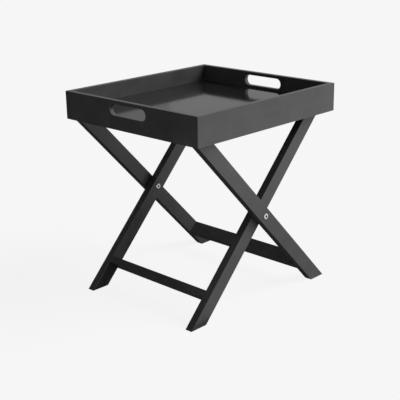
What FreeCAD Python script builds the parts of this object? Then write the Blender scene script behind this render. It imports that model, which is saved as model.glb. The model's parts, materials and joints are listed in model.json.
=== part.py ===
"""Folding butler's tray table: a lacquered tray with hand slots, on a stand of two crossed leg frames.

X runs along the tray, Y across it and Z up. The origin is on the floor, under the middle of the tray.
All sizes are in millimetres.
"""
import FreeCAD, Part
import math
import os
import Sketcher

SIZES = {
    # Tray
    "tray_length": 480,
    "tray_width": 434,
    "wall_height": 67.5,
    "wall_thickness": 12,
    "corner_radius": 1.2,
    "rim_radius": 1.0,
    "floor_drop": 40.5,
    "floor_thickness": 6,
    "floor_gap": 0.2,
    "tongue_thickness": 4,
    "groove_depth": 4,
    "groove_end_gap": 0.3,
    # Hand slots in the tray's ends
    "slot_length": 118,
    "slot_height": 26.5,
    "slot_drop": 21.75,
    "slot_edge_radius": 1.0,
    # Hidden keys across the tray's mitres
    "spline_thickness": 3,
    "spline_cover": 1.6,
    "spline_rise": 3,
    "spline_stop": 7.5,
    "spline_gap": 0.05,
    # Stand
    "stand_height": 456,
    "pivot_height": 220.2,
    "leg_width": 35.5,
    "leg_thickness": 19.5,
    "leg_edge_radius": 0.8,
    "end_clearance": 0.5,
    "side_clearance": 2.5,
    "trim_drop": 1.4,
    "stretcher_thickness": 18,
    "stretcher_height": 55,
    "rail_thickness": 18,
    # Dowels between the cross pieces and the legs
    "dowel_diameter": 8,
    "dowel_length": 28,
    "dowel_leg_depth": 12,
    "dowel_end_gap": 0.5,
    "dowel_gap": 0.05,
    # Pivot hardware
    "bolt_diameter": 6,
    "bolt_clearance": 0.15,
    "bolt_tip_gap": 2.5,
    "bolt_tip_bevel": 0.7,
    "head_diameter": 14,
    "head_height": 2.2,
    "head_bevel": 0.8,
    "socket_flats": 5,
    "socket_depth": 3,
    "sleeve_wall": 1.45,
    "sleeve_end_wall": 4,
    "thread_gap": 0.05,
    "pivot_clearance": 0.08,
    "washer_diameter": 20,
    "washer_thickness": 1.8,
}

# Values that follow from the sizes. Angles are in degrees, the rest in millimetres.
DERIVED = {
    "skirt_depth": "Sizes.wall_height - Sizes.floor_drop - Sizes.floor_thickness",
    "tray_bottom": "Sizes.stand_height - Derived.skirt_depth",
    # The legs' tops are trimmed upright, to stand just inside the tray's end walls
    "top_reach": "Sizes.tray_length / 2 - Sizes.wall_thickness - Sizes.end_clearance",
    "trim_start": "Derived.tray_bottom - Sizes.trim_drop",
    "trim_rise": "Derived.trim_start - Sizes.pivot_height",
    "leg_angle": "atan2(Derived.trim_rise; Derived.top_reach)"
                 " + asin(Sizes.leg_width / 2 / hypot(Derived.trim_rise; Derived.top_reach))",
    # Half the length of a level cut across a leg
    "half_cut": "Sizes.leg_width / 2 / sin(Derived.leg_angle)",
    "foot_middle": "Sizes.pivot_height / tan(Derived.leg_angle)",
    "top_middle": "(Sizes.stand_height - Sizes.pivot_height) / tan(Derived.leg_angle)",
    "top_inner": "Derived.top_middle - Derived.half_cut",
    # Distances of the legs' middle planes and inner faces from the table's middle
    "outer_face": "Sizes.tray_width / 2 - Sizes.wall_thickness - Sizes.side_clearance",
    "outer_leg_middle": "Derived.outer_face - Sizes.leg_thickness / 2",
    "outer_leg_inside": "Derived.outer_face - Sizes.leg_thickness",
    "inner_leg_outside": "Derived.outer_leg_inside - Sizes.washer_thickness",
    "inner_leg_middle": "Derived.inner_leg_outside - Sizes.leg_thickness / 2",
    "inner_leg_inside": "Derived.inner_leg_outside - Sizes.leg_thickness",
    # Cross pieces
    "stretcher_middle": "(Sizes.pivot_height - Sizes.stretcher_height) / tan(Derived.leg_angle)",
    "rail_width": "Derived.top_reach - Derived.top_inner",
    "rail_middle": "(Derived.top_reach + Derived.top_inner) / 2",
    "rail_height": "Sizes.stand_height - Sizes.rail_thickness / 2",
    # A mitre key's slot is centred in the wall and turned by 45 degrees, so each of its corners
    # is far from its middle along X or Y and near along the other
    "key_slot_far": "Sizes.wall_thickness / 2 - Sizes.spline_cover",
    "key_slot_near": "Derived.key_slot_far - (Sizes.spline_thickness + 2 * Sizes.spline_gap) * sqrt(0.5)",
    "spline_width": "2 * sqrt(2) * Derived.key_slot_far - Sizes.spline_thickness - 4 * Sizes.spline_gap",
    "spline_height": "Sizes.floor_drop - Sizes.spline_rise - Sizes.spline_stop",
    "spline_bottom": "Derived.skirt_depth + Sizes.floor_thickness + Sizes.spline_rise",
    # Pivot hardware
    "bolt_length": "2 * Sizes.leg_thickness + Sizes.washer_thickness"
                   " - Sizes.sleeve_end_wall - Sizes.bolt_tip_gap",
    "bolt_hole": "Sizes.bolt_diameter + 2 * Sizes.bolt_clearance",
    "sleeve_bore": "Sizes.bolt_diameter + 2 * Sizes.thread_gap",
    "sleeve_diameter": "Derived.sleeve_bore + 2 * Sizes.sleeve_wall",
    "dowel_hole": "Sizes.dowel_diameter + 2 * Sizes.dowel_gap",
}
ANGLES = ("leg_angle",)

# Two places closer than this are the same
TOUCH = 1e-6
# A cut that takes less than this volume has missed
LEAST_CUT = 1e-3

doc = FreeCAD.newDocument("ButlersTrayTable")
pieces = []


def make_sizes():
    """The sheet of driving sizes, and the values worked out from them."""
    sheet = doc.addObject("Spreadsheet::Sheet", "Sizes")
    for row, (name, value) in enumerate(SIZES.items(), start=1):
        sheet.set(f"A{row}", name)
        sheet.set(f"B{row}", str(value))
        sheet.setAlias(f"B{row}", name)
    doc.recompute()
    derived = doc.addObject("App::VarSet", "Derived")
    for name, formula in DERIVED.items():
        kind = "App::PropertyAngle" if name in ANGLES else "App::PropertyFloat"
        derived.addProperty(kind, name)
        derived.setExpression(name, formula)
        doc.recompute()


def number(formula):
    """The present value of a formula, as a plain number."""
    value = doc.Sizes.evalExpression(formula)
    return float(getattr(value, "Value", value))


def place(piece, x="0", y="0", z="0", axis=(0, 0, 1), angle=None):
    """Binds a piece's place, and its turn about an axis if an angle is given."""
    if angle is not None:
        piece.Placement = FreeCAD.Placement(FreeCAD.Vector(), FreeCAD.Rotation(FreeCAD.Vector(*axis), 1))
        piece.setExpression("Placement.Rotation.Angle", angle)
    for side, formula in zip("xyz", (x, y, z)):
        piece.setExpression(f"Placement.Base.{side}", formula)


def new_body(label):
    """An empty body whose label names the piece."""
    body = doc.addObject("PartDesign::Body", label)
    body.Label = label
    pieces.append(body)
    return body


def new_sketch(body, name, plane, offset=None):
    """A sketch on one of the body's own planes, moved along the plane's normal by offset."""
    sketch = body.newObject("Sketcher::SketchObject", f"{body.Label}_{name}")
    support = next(o for o in body.Origin.OriginFeatures if o.Role == plane)
    sketch.AttachmentSupport = [(support, "")]
    sketch.MapMode = "FlatFace"
    if offset is not None:
        sketch.setExpression("AttachmentOffset.Base.z", offset)
    return sketch


def bind(sketch, kind, *where, formula):
    """Adds a constraint whose value follows a formula."""
    index = sketch.addConstraint(Sketcher.Constraint(kind, *where, number(formula)))
    sketch.setExpression(f"Constraints[{index}]", formula)


def pin(sketch, geometry, point, x, y):
    """Holds one point of the sketch at x, y from its origin."""
    bind(sketch, "DistanceX", -1, 1, geometry, point, formula=x)
    bind(sketch, "DistanceY", -1, 1, geometry, point, formula=y)


def draw_outline(sketch, corners, arcs=None):
    """A closed outline through the corners, with straight edges or arcs of under a half circle.

    arcs maps the number of an edge to its centre's x and y and its radius.
    """
    arcs = arcs or {}
    points = [FreeCAD.Vector(number(x), number(y), 0) for x, y in corners]
    edges = []
    for i, start in enumerate(points):
        end = points[(i + 1) % len(points)]
        if i in arcs:
            middle = FreeCAD.Vector(number(arcs[i][0]), number(arcs[i][1]), 0)
            chord = (start + end) / 2 - middle
            crown = middle + chord * (number(arcs[i][2]) / chord.Length)
            edge = Part.Arc(start, crown, end)
        else:
            edge = Part.LineSegment(start, end)
        edges.append(sketch.addGeometry(edge, False))
    ends = []
    for i, edge in enumerate(edges):
        # An arc that was drawn clockwise is kept anticlockwise, so its ends may be swapped
        first = sketch.getPoint(edge, 1)
        ends.append((1, 2) if (first - points[i]).Length < TOUCH else (2, 1))
    for i, edge in enumerate(edges):
        after = (i + 1) % len(edges)
        joined = Sketcher.Constraint("Coincident", edge, ends[i][1], edges[after], ends[after][0])
        sketch.addConstraint(joined)
    for i, (x, y) in enumerate(corners):
        pin(sketch, edges[i], ends[i][0], x, y)
    for i, (_, _, radius) in arcs.items():
        bind(sketch, "Radius", edges[i], formula=radius)


def draw_circle(sketch, x, y, diameter):
    """A circle at x, y."""
    middle = FreeCAD.Vector(number(x), number(y), 0)
    circle = sketch.addGeometry(Part.Circle(middle, FreeCAD.Vector(0, 0, 1), number(diameter) / 2), False)
    pin(sketch, circle, 3, x, y)
    bind(sketch, "Diameter", circle, formula=diameter)


def rectangle(half_x, half_y):
    """The corners of a rectangle about the sketch's origin."""
    left, right = f"-({half_x})", half_x
    low, high = f"-({half_y})", half_y
    return [(left, low), (right, low), (right, high), (left, high)]


def pad(body, sketch, length, symmetric=False):
    """Material from the sketch, along its normal or to both sides."""
    feature = body.newObject("PartDesign::Pad", f"{sketch.Name}_pad")
    feature.Profile = sketch
    feature.SideType = "Symmetric" if symmetric else "One side"
    feature.setExpression("Length", length)
    doc.recompute()


def pocket(body, sketch, depth=None, reverse=False):
    """A cut from the sketch: to a depth, or right through both ways where no depth is given."""
    before = body.Shape.Volume
    feature = body.newObject("PartDesign::Pocket", f"{sketch.Name}_cut")
    feature.Profile = sketch
    if depth is None:
        feature.SideType = "Symmetric"
        feature.Type = "ThroughAll"
    else:
        feature.Reversed = reverse
        feature.setExpression("Length", depth)
    doc.recompute()
    if body.Shape.Volume > before - LEAST_CUT:
        raise RuntimeError(f"{feature.Name} cuts nothing")


def round_edges(body, name, radius, wanted):
    """Rounds the edges of the body so far for which wanted(edge) holds."""
    base = body.Tip
    names = [f"Edge{i}" for i, edge in enumerate(base.Shape.Edges, start=1) if wanted(edge)]
    if not names:
        raise RuntimeError(f"{body.Label} has no edge to round for {name}")
    feature = body.newObject("PartDesign::Fillet", f"{body.Label}_{name}")
    feature.Base = (base, names)
    feature.setExpression("Radius", radius)
    doc.recompute()


def runs_along(edge, direction, at_least):
    """Whether an edge is straight, parallel to the direction and at least that long."""
    if edge.Curve.TypeId != "Part::GeomLine" or edge.Length < at_least:
        return False
    return edge.tangentAt(edge.FirstParameter).cross(FreeCAD.Vector(*direction)).Length < TOUCH


def make_wall(label, length, reach, turn, slotted):
    """One mitred wall of the tray, drawn as the front wall and turned into place.

    reach is how far its outer face is from the tray's middle.
    """
    body = new_body(label)
    mitre_foot = f"{length} / 2 - Sizes.wall_thickness"
    straight = f"{length} / 2 - Sizes.corner_radius"
    # The corner's arc ends on the mitre, halfway round
    turned = f"{straight} + Sizes.corner_radius * sqrt(0.5)"
    outside = f"-({reach})"
    inside = f"-({reach}) + Sizes.wall_thickness"
    arc_centre = f"-({reach}) + Sizes.corner_radius"
    arc_end = f"-({reach}) + Sizes.corner_radius * (1 - sqrt(0.5))"
    plan = new_sketch(body, "plan", "XY_Plane")
    corners = [
        (f"-({straight})", outside),
        (straight, outside),
        (turned, arc_end),
        (mitre_foot, inside),
        (f"-({mitre_foot})", inside),
        (f"-({turned})", arc_end),
    ]
    arcs = {
        1: (straight, arc_centre, "Sizes.corner_radius"),
        5: (f"-({straight})", arc_centre, "Sizes.corner_radius"),
    }
    draw_outline(plan, corners, arcs)
    pad(body, plan, "Sizes.wall_height")

    top = number("Sizes.wall_height")
    half_mitre = number(mitre_foot) / 2
    round_edges(body, "rim", "Sizes.rim_radius", lambda edge: (
        runs_along(edge, (1, 0, 0), half_mitre) and abs(edge.BoundBox.ZMin - top) < TOUCH))

    # The groove for the floor's tongue, along the inner face
    groove = new_sketch(body, "groove", "YZ_Plane")
    groove_back = f"{inside} - Sizes.groove_depth"
    groove_mouth = f"{inside} + Sizes.groove_depth"
    groove_top = "Derived.skirt_depth + Sizes.tongue_thickness"
    draw_outline(groove, [
        (groove_back, "Derived.skirt_depth"),
        (groove_mouth, "Derived.skirt_depth"),
        (groove_mouth, groove_top),
        (groove_back, groove_top),
    ])
    pocket(body, groove)

    # Stopped slots for the mitre keys, one in each mitre
    keys = new_sketch(body, "keys", "XY_Plane", offset="Derived.spline_bottom - Sizes.spline_gap")
    key_middle = f"{length} / 2 - Sizes.wall_thickness / 2"
    key_depth = f"{outside} + Sizes.wall_thickness / 2"
    far = "Derived.key_slot_far"
    near = "Derived.key_slot_near"
    for side in ("", "-"):
        draw_outline(keys, [
            (f"{side}({key_middle} + {far})", f"{key_depth} + {near}"),
            (f"{side}({key_middle} + {near})", f"{key_depth} + {far}"),
            (f"{side}({key_middle} - {far})", f"{key_depth} - {near}"),
            (f"{side}({key_middle} - {near})", f"{key_depth} - {far}"),
        ])
    pocket(body, keys, "Derived.spline_height + 2 * Sizes.spline_gap", reverse=True)

    if slotted:
        cut_hand_slot(body, reach)
    place(body, z="Derived.tray_bottom", angle=turn)


def cut_hand_slot(body, reach):
    """The rounded hand slot through an end wall, with eased edges."""
    slot = new_sketch(body, "slot", "XZ_Plane")
    centre = "Sizes.wall_height - Sizes.slot_drop"
    straight = "(Sizes.slot_length - Sizes.slot_height) / 2"
    radius = "Sizes.slot_height / 2"
    reach_x, middle, round_r = number(straight), number(centre), number(radius)
    end = reach_x + round_r
    bottom_left = FreeCAD.Vector(-reach_x, middle - round_r, 0)
    bottom_right = FreeCAD.Vector(reach_x, middle - round_r, 0)
    top_right = FreeCAD.Vector(reach_x, middle + round_r, 0)
    top_left = FreeCAD.Vector(-reach_x, middle + round_r, 0)
    bottom = slot.addGeometry(Part.LineSegment(bottom_left, bottom_right), False)
    right = slot.addGeometry(Part.Arc(bottom_right, FreeCAD.Vector(end, middle, 0), top_right), False)
    top = slot.addGeometry(Part.LineSegment(top_right, top_left), False)
    left = slot.addGeometry(Part.Arc(top_left, FreeCAD.Vector(-end, middle, 0), bottom_left), False)
    for first, second in ((bottom, right), (right, top), (top, left), (left, bottom)):
        slot.addConstraint(Sketcher.Constraint("Tangent", first, 2, second, 1))
    for arc, x in ((right, straight), (left, f"-({straight})")):
        pin(slot, arc, 3, x, centre)
        bind(slot, "Radius", arc, formula=radius)
    pocket(body, slot)

    half_length = end + TOUCH
    half_height = round_r + TOUCH
    faces = (-number(reach), -number(reach) + number("Sizes.wall_thickness"))

    def on_slot_mouth(edge):
        box = edge.BoundBox
        flat = box.YLength < TOUCH and min(abs(box.YMin - y) for y in faces) < TOUCH
        within = box.XMin > -half_length and box.XMax < half_length
        return flat and within and abs(box.Center.z - middle) < half_height

    round_edges(body, "slot_edges", "Sizes.slot_edge_radius", on_slot_mouth)


def make_floor():
    """The tray's floor panel: a raised field between the walls, and a thinner tongue in their grooves."""
    body = new_body("tray_floor")
    let_in = "(Sizes.wall_thickness - Sizes.groove_depth + Sizes.groove_end_gap)"
    clear = "(Sizes.wall_thickness + Sizes.floor_gap)"
    for name, inset, thickness in (
        ("tongue", let_in, "Sizes.tongue_thickness"),
        ("field", clear, "Sizes.floor_thickness"),
    ):
        plan = new_sketch(body, name, "XY_Plane")
        draw_outline(plan, rectangle(f"Sizes.tray_length / 2 - {inset}", f"Sizes.tray_width / 2 - {inset}"))
        pad(body, plan, thickness)
    place(body, z="Sizes.stand_height")


def make_splines():
    """The hidden keys that hold the tray's mitres, each lying square across its mitre."""
    for across, y_sign in (("front", "-"), ("rear", "")):
        for along, x_sign in (("left", "-"), ("right", "")):
            body = new_body(f"tray_spline_{across}_{along}")
            plan = new_sketch(body, "plan", "XY_Plane")
            draw_outline(plan, rectangle("Derived.spline_width / 2", "Sizes.spline_thickness / 2"))
            pad(body, plan, "Derived.spline_height")
            place(
                body,
                x=f"{x_sign}(Sizes.tray_length - Sizes.wall_thickness) / 2",
                y=f"{y_sign}(Sizes.tray_width - Sizes.wall_thickness) / 2",
                z="Derived.tray_bottom + Derived.spline_bottom",
                angle="45" if x_sign != y_sign else "-45",
            )


def make_leg(label, side, middle, inward, bore):
    """One leg, leaning in the XZ plane.

    side is -1 where its top is at -X and its foot at +X, and 1 the other way round. middle is the Y of its
    middle plane, inward is the sign of the Y that its inner face looks along, and bore is its pivot hole.
    """
    body = new_body(label)
    outline = new_sketch(body, "outline", "XZ_Plane")
    draw_outline(outline, [
        (f"{-side} * (Derived.foot_middle - Derived.half_cut)", "0"),
        (f"{-side} * (Derived.foot_middle + Derived.half_cut)", "0"),
        (f"{side} * Derived.top_inner", "Sizes.stand_height"),
        (f"{side} * Derived.top_reach", "Sizes.stand_height"),
        (f"{side} * Derived.top_reach", "Derived.trim_start"),
    ])
    pad(body, outline, "Sizes.leg_thickness", symmetric=True)
    lean = math.radians(number("Derived.leg_angle"))
    along = (side * math.cos(lean), 0, math.sin(lean))
    round_edges(body, "edges", "Sizes.leg_edge_radius", lambda edge: (
        runs_along(edge, along, number("Sizes.pivot_height"))))

    pivot = new_sketch(body, "pivot", "XZ_Plane")
    draw_circle(pivot, "0", "Sizes.pivot_height", bore)
    pocket(body, pivot)

    # Blind dowel holes, from the inner face. The plane's normal is -Y.
    holes = new_sketch(body, "dowel_holes", "XZ_Plane", offset=f"{-inward} * Sizes.leg_thickness / 2")
    for x, z in dowel_spots(side).values():
        draw_circle(holes, x, z, "Derived.dowel_hole")
    pocket(body, holes, "Sizes.dowel_leg_depth", reverse=inward > 0)
    place(body, y=middle)


def dowel_spots(side):
    """Where the dowels of one frame's two cross pieces are, as X and Z.

    They lie a quarter of the cross piece's width either side of its middle.
    """
    spots = {}
    for name, sign in (("stretcher_upper", 1), ("stretcher_lower", -1)):
        step = f"{sign} * Sizes.leg_width / 4"
        x = f"{-side} * (Derived.stretcher_middle + {step} * sin(Derived.leg_angle))"
        spots[name] = (x, f"Sizes.stretcher_height + {step} * cos(Derived.leg_angle)")
    for name, sign in (("rail_outer", 1), ("rail_inner", -1)):
        x = f"{side} * (Derived.rail_middle + {sign} * Derived.rail_width / 4)"
        spots[name] = (x, "Derived.rail_height")
    return spots


def make_cross_piece(label, width, thickness, length):
    """A stretcher or rail between two legs, drawn about its own middle, with two dowel holes in each end."""
    body = new_body(label)
    section = new_sketch(body, "section", "XZ_Plane")
    draw_outline(section, rectangle(f"{width} / 2", f"{thickness} / 2"))
    pad(body, section, length, symmetric=True)
    round_edges(body, "edges", "Sizes.leg_edge_radius", lambda edge: (
        runs_along(edge, (0, 1, 0), number(length) / 2)))
    for end, sign in (("front", 1), ("rear", -1)):
        holes = new_sketch(body, f"{end}_holes", "XZ_Plane", offset=f"{sign} * {length} / 2")
        for spot in ("-", ""):
            draw_circle(holes, f"{spot}{width} / 4", "0", "Derived.dowel_hole")
        depth = "Sizes.dowel_length - Sizes.dowel_leg_depth + 2 * Sizes.dowel_end_gap"
        pocket(body, holes, depth, reverse=sign < 0)
    return body


def make_dowels(frame, side, leg_inside):
    """The dowels that join one frame's cross pieces to its legs."""
    for spot, (x, z) in dowel_spots(side).items():
        cross, position = spot.split("_")
        for end, sign in (("front", -1), ("rear", 1)):
            label = f"{frame}_{cross}_dowel_{end}_{position}"
            dowel = doc.addObject("Part::Cylinder", label)
            dowel.Label = label
            dowel.setExpression("Radius", "Sizes.dowel_diameter / 2")
            dowel.setExpression("Height", "Sizes.dowel_length")
            # A cylinder turned to run along the table's width, away from its middle
            outer_end = f"{leg_inside} + Sizes.dowel_leg_depth - Sizes.dowel_end_gap"
            start = f"{sign} * ({outer_end} - Sizes.dowel_length)"
            place(dowel, x=x, y=start, z=z, axis=(1, 0, 0), angle=str(-90 * sign))
            pieces.append(dowel)


def make_frame(frame, side, leg_middle, leg_inside, bore):
    """A pair of legs with its stretcher, top rail and dowels."""
    make_leg(f"{frame}_leg_front", side, f"-{leg_middle}", 1, bore)
    make_leg(f"{frame}_leg_rear", side, leg_middle, -1, bore)
    length = f"(2 * {leg_inside})"
    thickness = "Sizes.stretcher_thickness"
    stretcher = make_cross_piece(f"{frame}_stretcher", "Sizes.leg_width", thickness, length)
    place(
        stretcher,
        x=f"{-side} * Derived.stretcher_middle",
        z="Sizes.stretcher_height",
        axis=(0, 1, 0),
        angle=f"{side} * (90 deg - Derived.leg_angle)",
    )
    rail = make_cross_piece(f"{frame}_top_rail", "Derived.rail_width", "Sizes.rail_thickness", length)
    place(rail, x=f"{side} * Derived.rail_middle", z="Derived.rail_height")
    make_dowels(frame, side, leg_inside)


def turn_profile(body, corners):
    """A solid of revolution about the body's Y axis, from the corners of half its section."""
    profile = new_sketch(body, "profile", "XY_Plane")
    draw_outline(profile, corners)
    feature = body.newObject("PartDesign::Revolution", f"{body.Label}_turned")
    feature.Profile = profile
    feature.ReferenceAxis = (profile, ["V_Axis"])
    feature.Angle = 360
    doc.recompute()


def cut_socket(body, face, reverse):
    """The hexagon socket in a head, from the head's face. The plane's normal is -Y."""
    socket = new_sketch(body, "socket", "XZ_Plane", offset=face)
    reach = "Sizes.socket_flats / sqrt(3)"
    draw_outline(socket, [(f"{reach} * cos({60 * i})", f"{reach} * sin({60 * i})") for i in range(6)])
    pocket(body, socket, "Sizes.socket_depth", reverse=reverse)


def make_pivot(where, sign):
    """The bolt, sleeve nut and washer of one pivot, drawn for the front and turned round for the rear."""
    turn = "0" if sign < 0 else "180"
    head = "Sizes.head_diameter / 2"
    face = "Sizes.head_height"
    bevel = "Sizes.head_bevel"
    shank = "Sizes.bolt_diameter / 2"
    tip = "Sizes.bolt_tip_bevel"
    bolt = new_body(f"pivot_bolt_{where}")
    turn_profile(bolt, [
        ("0", f"-{face}"),
        (f"{head} - {bevel}", f"-{face}"),
        (head, f"-{face} + {bevel}"),
        (head, "0"),
        (shank, "0"),
        (shank, f"Derived.bolt_length - {tip}"),
        (f"{shank} - {tip}", "Derived.bolt_length"),
        ("0", "Derived.bolt_length"),
    ])
    cut_socket(bolt, face, reverse=False)
    place(bolt, y=f"{sign} * Derived.outer_face", z="Sizes.pivot_height", angle=turn)

    sleeve = "Derived.sleeve_diameter / 2"
    bore = "Derived.sleeve_bore / 2"
    nut = new_body(f"pivot_nut_{where}")
    turn_profile(nut, [
        ("0", face),
        ("0", "-Sizes.sleeve_end_wall"),
        (bore, "-Sizes.sleeve_end_wall"),
        (bore, "-Sizes.leg_thickness"),
        (sleeve, "-Sizes.leg_thickness"),
        (sleeve, "0"),
        (head, "0"),
        (head, f"{face} - {bevel}"),
        (f"{head} - {bevel}", face),
    ])
    cut_socket(nut, f"-{face}", reverse=True)
    place(nut, y=f"{sign} * Derived.inner_leg_inside", z="Sizes.pivot_height", angle=turn)

    label = f"pivot_washer_{where}"
    disc = doc.addObject("Part::Cylinder", f"{label}_disc")
    disc.setExpression("Radius", "Sizes.washer_diameter / 2")
    hole = doc.addObject("Part::Cylinder", f"{label}_hole")
    hole.setExpression("Radius", "Derived.bolt_hole / 2")
    for cylinder in (disc, hole):
        cylinder.setExpression("Height", "Sizes.washer_thickness")
    washer = doc.addObject("Part::Cut", label)
    washer.Base = disc
    washer.Tool = hole
    washer.Label = label
    place(
        washer,
        y=f"{sign} * Derived.inner_leg_outside",
        z="Sizes.pivot_height",
        axis=(1, 0, 0),
        angle=str(-90 * sign),
    )
    pieces.append(washer)


def make_table():
    """Every piece of the tray, the two leg frames and the pivots."""
    make_floor()
    make_wall("tray_front_wall", "Sizes.tray_length", "Sizes.tray_width / 2", "0", slotted=False)
    make_wall("tray_right_end", "Sizes.tray_width", "Sizes.tray_length / 2", "90", slotted=True)
    make_wall("tray_rear_wall", "Sizes.tray_length", "Sizes.tray_width / 2", "180", slotted=False)
    make_wall("tray_left_end", "Sizes.tray_width", "Sizes.tray_length / 2", "270", slotted=True)
    make_splines()
    pivot_bore = "Derived.sleeve_diameter + 2 * Sizes.pivot_clearance"
    make_frame("outer", -1, "Derived.outer_leg_middle", "Derived.outer_leg_inside", "Derived.bolt_hole")
    make_frame("inner", 1, "Derived.inner_leg_middle", "Derived.inner_leg_inside", pivot_bore)
    make_pivot("front", -1)
    make_pivot("rear", 1)
    doc.recompute()


def check_pieces():
    """Stops if any object failed, or a piece isn't one valid solid."""
    for item in doc.Objects:
        if "Invalid" in item.State or "Error" in item.State:
            raise RuntimeError(f"{item.Label} failed: {item.State}")
    for piece in pieces:
        shape = piece.Shape
        if shape.isNull() or not shape.isValid() or len(shape.Solids) != 1:
            raise RuntimeError(f"{piece.Label} is not one valid solid")


def write_pieces():
    """One STEP file for each piece, named by its label."""
    os.makedirs("parts", exist_ok=True)
    for piece in pieces:
        piece.Shape.exportStep(os.path.join("parts", f"{piece.Label}.step"))
    print(len(pieces), "pieces written, legs at", round(number("Derived.leg_angle"), 3), "degrees")


make_sizes()
make_table()
check_pieces()
write_pieces()
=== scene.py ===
"""Folding butler's tray table: the finishes of its pieces, in a plain pale studio.

Lengths are in metres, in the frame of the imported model:
X along the tray, Y across it, Z up from the floor.
"""
import json
import math

import bpy
import numpy as np
from mathutils import Matrix, Vector

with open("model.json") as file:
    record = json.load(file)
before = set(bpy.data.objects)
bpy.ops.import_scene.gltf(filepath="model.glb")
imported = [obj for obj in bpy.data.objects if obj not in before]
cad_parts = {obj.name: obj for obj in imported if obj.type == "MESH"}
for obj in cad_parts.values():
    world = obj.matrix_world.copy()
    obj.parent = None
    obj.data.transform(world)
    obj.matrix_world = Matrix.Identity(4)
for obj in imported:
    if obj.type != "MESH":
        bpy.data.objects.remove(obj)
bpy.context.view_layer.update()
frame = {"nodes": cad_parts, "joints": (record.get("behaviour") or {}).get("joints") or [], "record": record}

MM = 0.001

# Camera, found by fitting the table's corners, feet and pivots to their places in the picture
IMAGE_SIDE = 400
FOCAL_PIXELS = 891.66
CAMERA_PLACE = (-1.5297, -1.4589, 0.9117)
CAMERA_YAW = math.radians(46.156)
CAMERA_PITCH = math.radians(18.193)
CAMERA_ROLL = math.radians(0.903)
SENSOR_WIDTH = 36

# Light
WHITE = "#ffffff"
KEY_FROM = (0.9, -1.0, 1.08)
KEY_STRENGTH = 5.4
KEY_SPREAD = math.radians(35)
FILL_STRENGTH = 0.34
BACKGROUND = "#f6f6f6"

# Studio floor, and the flags and cards round the table
FLOOR_COLOUR = "#949494"
FLOOR_GLOW = 0.868
FLOOR_HALF = 30.0
FLAG_DISTANCE = 6.0
FLAG_COLUMNS = 25
FLAG_ROWS = 13
LOWER_CARD_HEIGHT = 0.5 * MM
CARD_HEIGHT = 1 * MM

# Finishes
LACQUER_IOR = 1.54
BEECH_IOR = 1.5
# Most of a noise texture's values lie between these two
NOISE_LOW = 0.3
NOISE_HIGH = 0.7
# A wave texture of scale 1 repeats after this length
WAVE_STEP = 0.314

# Turns that lay a pattern's X axis along a piece
ALONG_X = (0, 0, 0)
ALONG_Y = (0, 0, math.pi / 2)
ALONG_Z = (0, math.pi / 2, 0)
# Points of a leg that are no further than this above its lowest one belong to its foot
FOOT_TOLERANCE = 0.1 * MM

nodes = frame["nodes"]
pivot = Vector(next(j["pos_m"] for j in frame["joints"] if j["name"] == "stand_fold"))


def linear(hex_code):
    """An sRGB hex colour as linear red, green, blue and alpha."""
    channels = [int(hex_code[i:i + 2], 16) / 255 for i in (1, 3, 5)]
    return [c / 12.92 if c <= 0.04045 else ((c + 0.055) / 1.055) ** 2.4 for c in channels] + [1.0]


def add(tree, kind, links=None, values=None, stops=(), **settings):
    """Adds one node, with its settings, its inputs' values, the outputs that feed it and a ramp's stops."""
    node = tree.nodes.new(kind)
    for key, value in settings.items():
        setattr(node, key, value)
    for key, value in (values or {}).items():
        node.inputs[key].default_value = value
    for key, source in (links or {}).items():
        tree.links.new(source, node.inputs[key])
    for i, (position, colour) in enumerate(stops):
        node.color_ramp.elements[i].position = position
        node.color_ramp.elements[i].color = linear(colour)
    return node


def new_material(name):
    """An empty material and its node tree."""
    material = bpy.data.materials.new(name)
    material.use_nodes = True
    material.node_tree.nodes.clear()
    return material, material.node_tree


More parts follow.
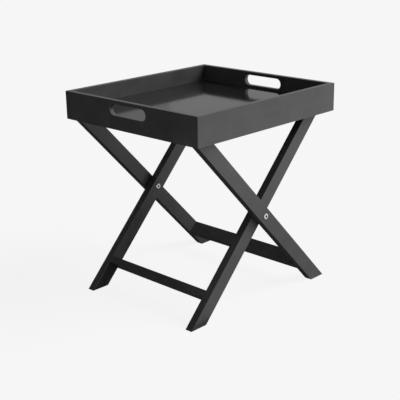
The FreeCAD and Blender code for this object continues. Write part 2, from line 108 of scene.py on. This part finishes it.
def satin_lacquer(name, turn):
    """Satin polyurethane lacquer, black, sprayed on planed rubberwood and rubbed down between coats.

    Broad soft reflections, a fine orange peel, and the wood's grain just telling through along each piece.
    Handling has polished the edges, so they catch a thin line of light.
    """
    material, tree = new_material(name)
    place = add(tree, "ShaderNodeTexCoord").outputs["Object"]
    # Grain: streaks 90 mm long and 1.6 mm wide, which is wider than the real pores so that they show
    along = add(tree, "ShaderNodeMapping", {"Vector": place},
                {"Rotation": turn, "Scale": (90 * MM, 1.6 * MM, 1.6 * MM)}, vector_type="TEXTURE")
    grain = add(tree, "ShaderNodeTexNoise", {"Vector": along.outputs["Vector"]},
                {"Scale": 1.0, "Detail": 3.0, "Roughness": 0.6})
    # Clouds from the spray gun's passes, about 50 mm across
    clouds = add(tree, "ShaderNodeTexNoise", {"Vector": place}, {"Scale": 1 / (50 * MM), "Detail": 2.0})
    # Orange peel, 1.8 mm from crest to crest
    peel = add(tree, "ShaderNodeTexNoise", {"Vector": place}, {"Scale": 1 / (1.8 * MM), "Detail": 1.0})
    mottle = add(tree, "ShaderNodeMix", {"A": grain.outputs["Fac"], "B": clouds.outputs["Fac"]},
                 {"Factor": 0.5})
    tone = add(tree, "ShaderNodeValToRGB", {"Fac": mottle.outputs["Result"]},
               stops=[(0.35, "#2a2a2b"), (0.65, "#363637")])
    # Edges: where a normal rounded over 1.5 mm leaves the face's own
    rounded = add(tree, "ShaderNodeBevel", values={"Radius": 1.5 * MM}, samples=4)
    face = add(tree, "ShaderNodeNewGeometry")
    likeness = add(tree, "ShaderNodeVectorMath", {0: rounded.outputs["Normal"], 1: face.outputs["Normal"]},
                   operation="DOT_PRODUCT")
    handled = add(tree, "ShaderNodeMapRange", {"Value": likeness.outputs["Value"]},
                  {"From Min": 1.0, "From Max": 0.8})
    cloudy = add(tree, "ShaderNodeMapRange", {"Value": clouds.outputs["Fac"]},
                 {"From Min": NOISE_LOW, "From Max": NOISE_HIGH, "To Min": 0.285, "To Max": 0.345})
    rough = add(tree, "ShaderNodeMix", {"Factor": handled.outputs["Result"], "A": cloudy.outputs["Result"]},
                {"B": 0.22})
    pores = add(tree, "ShaderNodeBump", {"Height": grain.outputs["Fac"]},
                {"Distance": 0.05 * MM, "Strength": 1.0})
    skin = add(tree, "ShaderNodeBump", {"Height": peel.outputs["Fac"], "Normal": pores.outputs["Normal"]},
               {"Distance": 0.025 * MM, "Strength": 1.0})
    shader = add(
        tree, "ShaderNodeBsdfPrincipled",
        {
            "Base Color": tone.outputs["Color"],
            "Roughness": rough.outputs["Result"],
            "Normal": skin.outputs["Normal"],
        },
        {"IOR": LACQUER_IOR},
    )
    add(tree, "ShaderNodeOutputMaterial", {"Surface": shader.outputs["BSDF"]})
    return material


def gloss_lacquer():
    """Gloss polyester lacquer, black, flatted and polished on a smooth board.

    A clear mirror of the walls at a low angle, a little softened, with fine polishing marks in its sheen.
    """
    material, tree = new_material("polished_gloss_lacquer")
    place = add(tree, "ShaderNodeTexCoord").outputs["Object"]
    # Clouds in the black, about 60 mm across
    clouds = add(tree, "ShaderNodeTexNoise", {"Vector": place}, {"Scale": 1 / (60 * MM), "Detail": 2.0})
    tone = add(tree, "ShaderNodeValToRGB", {"Fac": clouds.outputs["Fac"]},
               stops=[(NOISE_LOW, "#151516"), (NOISE_HIGH, "#191919")])
    # Polishing marks run along the tray, 60 mm long and 1 mm wide
    along = add(tree, "ShaderNodeMapping", {"Vector": place}, {"Scale": (60 * MM, 1 * MM, 1 * MM)},
                vector_type="TEXTURE")
    marks = add(tree, "ShaderNodeTexNoise", {"Vector": along.outputs["Vector"]},
                {"Scale": 1.0, "Detail": 2.0})
    rough = add(tree, "ShaderNodeMapRange", {"Value": marks.outputs["Fac"]},
                {"From Min": NOISE_LOW, "From Max": NOISE_HIGH, "To Min": 0.07, "To Max": 0.11})
    # Low waves left by the flatting, 6 mm from crest to crest
    waves = add(tree, "ShaderNodeTexNoise", {"Vector": place}, {"Scale": 1 / (6 * MM), "Detail": 0.0})
    skin = add(tree, "ShaderNodeBump", {"Height": waves.outputs["Fac"]},
               {"Distance": 0.015 * MM, "Strength": 1.0})
    shader = add(
        tree, "ShaderNodeBsdfPrincipled",
        {
            "Base Color": tone.outputs["Color"],
            "Roughness": rough.outputs["Result"],
            "Normal": skin.outputs["Normal"],
        },
        {"IOR": LACQUER_IOR},
    )
    add(tree, "ShaderNodeOutputMaterial", {"Surface": shader.outputs["BSDF"]})
    return material


def zinc_plated_steel():
    """Bright zinc plating on turned steel.

    A pale grey metal, faintly blotched, with fine rings from the lathe round the pivot's axis.
    """
    material, tree = new_material("zinc_plated_steel")
    place = add(tree, "ShaderNodeTexCoord").outputs["Object"]
    centred = add(tree, "ShaderNodeMapping", {"Vector": place}, {"Location": pivot}, vector_type="TEXTURE")
    # Tool rings 0.5 mm apart
    rings = add(tree, "ShaderNodeTexWave", {"Vector": centred.outputs["Vector"]},
                {"Scale": WAVE_STEP / (0.5 * MM), "Distortion": 0.4, "Detail": 1.0},
                wave_type="RINGS", rings_direction="Y")
    turned = add(tree, "ShaderNodeBump", {"Height": rings.outputs["Fac"]},
                 {"Distance": 0.004 * MM, "Strength": 1.0})
    # Blotches of the plating bath, about 3 mm across
    blotch = add(tree, "ShaderNodeTexNoise", {"Vector": place}, {"Scale": 1 / (3 * MM), "Detail": 3.0})
    plating = add(tree, "ShaderNodeValToRGB", {"Fac": blotch.outputs["Fac"]},
                  stops=[(NOISE_LOW, "#d6d8d8"), (NOISE_HIGH, "#e8e9e9")])
    rough = add(tree, "ShaderNodeMapRange", {"Value": blotch.outputs["Fac"]},
                {"From Min": NOISE_LOW, "From Max": NOISE_HIGH, "To Min": 0.28, "To Max": 0.36})
    # Painted shade: the hexagon sockets are painted dark, out to 2.9 mm from the pivot's axis, for the shade
    # inside them
    across = add(tree, "ShaderNodeVectorMath", {0: centred.outputs["Vector"]}, {1: (1 / MM, 0, 1 / MM)},
                 operation="MULTIPLY")
    radius = add(tree, "ShaderNodeVectorMath", {0: across.outputs["Vector"]}, operation="LENGTH")
    beyond_socket_shade = add(tree, "ShaderNodeMapRange", {"Value": radius.outputs["Value"]},
                {"From Min": 2.6, "From Max": 2.9})
    # The sockets' painted shade, mixed into the plating's colour
    tone = add(tree, "ShaderNodeMix", {"Factor": beyond_socket_shade.outputs["Result"], "B": plating.outputs["Color"]},
               {"A": linear("#1a1a1a")}, data_type="RGBA")
    shader = add(
        tree, "ShaderNodeBsdfPrincipled",
        {
            "Base Color": tone.outputs["Result"],
            "Roughness": rough.outputs["Result"],
            "Normal": turned.outputs["Normal"],
        },
        {"Metallic": 1.0},
    )
    add(tree, "ShaderNodeOutputMaterial", {"Surface": shader.outputs["BSDF"]})
    return material


def bare_beech(name, turn):
    """Planed beech with no finish: warm and pale, with short dark flecks along the grain."""
    material, tree = new_material(name)
    place = add(tree, "ShaderNodeTexCoord").outputs["Object"]
    # Flecks 3 mm long and 0.3 mm wide
    along = add(tree, "ShaderNodeMapping", {"Vector": place},
                {"Rotation": turn, "Scale": (3 * MM, 0.3 * MM, 0.3 * MM)}, vector_type="TEXTURE")
    flecks = add(tree, "ShaderNodeTexNoise", {"Vector": along.outputs["Vector"]},
                 {"Scale": 1.0, "Detail": 2.0})
    tone = add(tree, "ShaderNodeValToRGB", {"Fac": flecks.outputs["Fac"]},
               stops=[(0.35, "#a87b4f"), (0.6, "#cfa67a")])
    skin = add(tree, "ShaderNodeBump", {"Height": flecks.outputs["Fac"]},
               {"Distance": 0.03 * MM, "Strength": 1.0})
    shader = add(
        tree, "ShaderNodeBsdfPrincipled",
        {"Base Color": tone.outputs["Color"], "Normal": skin.outputs["Normal"]},
        {"Roughness": 0.62, "IOR": BEECH_IOR},
    )
    add(tree, "ShaderNodeOutputMaterial", {"Surface": shader.outputs["BSDF"]})
    return material


def leg_lean(name):
    """A leg's angle to the floor: from the middle of its foot up to the pivot."""
    mesh = nodes[name].data
    points = np.empty(len(mesh.vertices) * 3)
    mesh.vertices.foreach_get("co", points)
    points = points.reshape(-1, 3)
    foot = points[points[:, 2] < points[:, 2].min() + FOOT_TOLERANCE, 0]
    return math.atan2(pivot.z, -(foot.min() + foot.max()) / 2)


def dress_nodes():
    """Gives every piece the finish of its material slot, with the grain running along the piece."""
    slots = {row["node"]: row["material_slot"] for row in frame["record"]["subparts"]}
    finishes = {
        "walls": satin_lacquer("satin_lacquer_long_walls", ALONG_X),
        "ends": satin_lacquer("satin_lacquer_cross_grain", ALONG_Y),
        "outer": satin_lacquer("satin_lacquer_outer_legs", (0, -leg_lean("outer_leg_front"), 0)),
        "inner": satin_lacquer("satin_lacquer_inner_legs", (0, -leg_lean("inner_leg_front"), 0)),
        "floor": gloss_lacquer(),
        "steel": zinc_plated_steel(),
        "dowels": bare_beech("bare_beech_dowels", ALONG_Y),
        "keys": bare_beech("bare_beech_keys", ALONG_Z),
    }
    for name, piece in nodes.items():
        if slots[name] == "gloss_lacquer":
            finish = finishes["floor"]
        elif slots[name] == "zinc_plated_steel":
            finish = finishes["steel"]
        elif slots[name] == "beech_joinery":
            finish = finishes["keys" if "spline" in name else "dowels"]
        elif "_leg_" in name:
            finish = finishes[name.split("_")[0]]
        else:
            finish = finishes["walls" if name.endswith("wall") else "ends"]
        for spot in piece.material_slots:
            spot.material = finish


def standing_sheet(turns, rises):
    """Points of a curved sheet round the table, on a sphere about its foot.

    One side follows the angle round from +X towards +Y, the other the angle above the floor, in degrees.
    """
    turn, rise = np.meshgrid(
        np.radians(np.linspace(*turns, FLAG_COLUMNS)),
        np.radians(np.linspace(*rises, FLAG_ROWS)),
    )
    level = np.cos(rise)
    return FLAG_DISTANCE * np.stack([level * np.cos(turn), level * np.sin(turn), np.sin(rise)], 2)


def lying_sheet(xs, ys, height=CARD_HEIGHT):
    """Points of a flat sheet, its four corners at one height."""
    x, y = np.meshgrid(np.array(xs), np.array(ys))
    return np.stack([x, y, np.full_like(x, height)], 2)


def stage_sheet(name, points, material):
    """Puts a sheet into the studio, from a grid of points with a face between each four neighbours."""
    rows, columns = points.shape[:2]
    first = (np.arange(rows - 1)[:, None] * columns + np.arange(columns - 1)).ravel()
    faces = np.stack([first, first + 1, first + columns + 1, first + columns], 1)
    mesh = bpy.data.meshes.new(name)
    mesh.from_pydata(points.reshape(-1, 3).tolist(), [], faces.tolist())
    mesh.materials.append(material)
    sheet = bpy.data.objects.new(name, mesh)
    bpy.context.scene.collection.objects.link(sheet)
    return sheet


def seen_rays(tree):
    """An output that is 1 where something is looked at, straight on, in a reflection or through glass."""
    ray = add(tree, "ShaderNodeLightPath")
    seen = ray.outputs["Is Camera Ray"]
    for kind in ("Is Glossy Ray", "Is Transmission Ray"):
        either = add(tree, "ShaderNodeMath", {0: seen, 1: ray.outputs[kind]}, operation="MAXIMUM")
        seen = either.outputs["Value"]
    return seen


def make_floor():
    """A flat pale floor. What is seen of it is mostly its own even tone, and the rest keeps the shadow."""
    material, tree = new_material("pale_studio_floor")
    share = add(tree, "ShaderNodeMath", {0: seen_rays(tree)}, {1: FLOOR_GLOW}, operation="MULTIPLY")
    lit = add(tree, "ShaderNodeBsdfDiffuse", values={"Color": linear(FLOOR_COLOUR)})
    glow = add(tree, "ShaderNodeEmission", values={"Color": linear(WHITE), "Strength": 1.0})
    mixed = add(tree, "ShaderNodeMixShader",
                {"Fac": share.outputs["Value"], 1: lit.outputs["BSDF"], 2: glow.outputs["Emission"]})
    add(tree, "ShaderNodeOutputMaterial", {"Surface": mixed.outputs["Shader"]})
    reach = (-FLOOR_HALF, FLOOR_HALF)
    stage_sheet("studio_floor", lying_sheet(reach, reach, height=0.0), material)


def make_flag(name, tone, points):
    """A studio flag or card of an even tone, which shows only in reflections."""
    material, tree = new_material(name)
    glow = add(tree, "ShaderNodeEmission", values={"Color": linear(tone), "Strength": 1.0})
    add(tree, "ShaderNodeOutputMaterial", {"Surface": glow.outputs["Emission"]})
    flag = stage_sheet(name, points, material)
    flag.visible_camera = False
    flag.visible_diffuse = False
    flag.visible_transmission = False
    flag.visible_shadow = False


def make_flags():
    """Flags and cards round the table, as round any black product, so that its faces part from each other.

    Dark flags behind on the left and above, and a dark sheet on the floor under the table, keep the left
    faces dark. That sheet is painted shadow: the table's shade on the floor, as the legs and stretchers
    reflect it.
    A grey and a white card on the floor lighten the front faces.
    Grey cards that stand on the right show in the tray's floor.
    """
    make_flag("dark_flag_back", "#4c4c4c", standing_sheet(turns=(97, 172), rises=(0, 35)))
    make_flag("dark_flag_above", "#343434", standing_sheet(turns=(60, 195), rises=(35, 88)))
    make_flag("dark_flag_floor", "#545454", lying_sheet(xs=(-6.0, -0.4), ys=(0.55, 6.0)))
    # Painted shadow: a dark sheet under the table, seen only in reflections, for the table's shade on the
    # floor
    make_flag("painted_table_shadow", "#303030", lying_sheet(xs=(-0.4, 0.5), ys=(-0.2, 1.5)))
    # The near card lies under the edge of the painted shadow sheet beside it
    make_flag("grey_card_near", "#c0c0c0",
              lying_sheet(xs=(-0.4, 1.7), ys=(-0.65, 0.35), height=LOWER_CARD_HEIGHT))
    make_flag("white_card_front", WHITE, lying_sheet(xs=(0.3, 2.5), ys=(-2.2, -0.65)))
    make_flag("grey_card_right", "#b4b4b4", standing_sheet(turns=(10, 46.5), rises=(0, 45)))
    make_flag("grey_card_rear", "#9e9e9e", standing_sheet(turns=(46.5, 80), rises=(0, 35)))


def make_world():
    """Low even fill light. The camera and the shiny surfaces see a pale background in its place."""
    world = bpy.data.worlds.new("studio")
    bpy.context.scene.world = world
    world.use_nodes = True
    tree = world.node_tree
    tree.nodes.clear()
    fill = add(tree, "ShaderNodeBackground", values={"Color": linear(WHITE), "Strength": FILL_STRENGTH})
    pale = add(tree, "ShaderNodeBackground", values={"Color": linear(BACKGROUND), "Strength": 1.0})
    mixed = add(tree, "ShaderNodeMixShader",
                {"Fac": seen_rays(tree), 1: fill.outputs["Background"], 2: pale.outputs["Background"]})
    add(tree, "ShaderNodeOutputWorld", {"Surface": mixed.outputs["Shader"]})


def make_key_light():
    """One large soft light, high at the front right. The cards, not the lamp, show in the lacquer's gloss."""
    data = bpy.data.lights.new("key_light", "SUN")
    data.energy = KEY_STRENGTH
    data.angle = KEY_SPREAD
    light = bpy.data.objects.new("key_light", data)
    light.visible_glossy = False
    light.rotation_euler = Vector(KEY_FROM).to_track_quat("Z", "Y").to_euler()
    bpy.context.scene.collection.objects.link(light)


def make_camera():
    """The camera at the picture's viewing angle."""
    data = bpy.data.cameras.new("camera")
    data.sensor_width = SENSOR_WIDTH
    data.lens = FOCAL_PIXELS * SENSOR_WIDTH / IMAGE_SIDE
    level = math.cos(CAMERA_PITCH)
    forward = Vector((math.sin(CAMERA_YAW) * level, math.cos(CAMERA_YAW) * level, -math.sin(CAMERA_PITCH)))
    right = Vector((math.cos(CAMERA_YAW), -math.sin(CAMERA_YAW), 0))
    down = forward.cross(right)
    rolled_right = math.cos(CAMERA_ROLL) * right + math.sin(CAMERA_ROLL) * down
    rolled_down = math.cos(CAMERA_ROLL) * down - math.sin(CAMERA_ROLL) * right
    turn = Matrix((rolled_right, -rolled_down, -forward)).transposed()
    camera = bpy.data.objects.new("camera", data)
    camera.matrix_world = Matrix.Translation(CAMERA_PLACE) @ turn.to_4x4()
    bpy.context.scene.collection.objects.link(camera)
    bpy.context.scene.camera = camera


dress_nodes()
make_floor()
make_flags()
make_world()
make_key_light()
make_camera()
bpy.context.scene.view_settings.view_transform = "Standard"
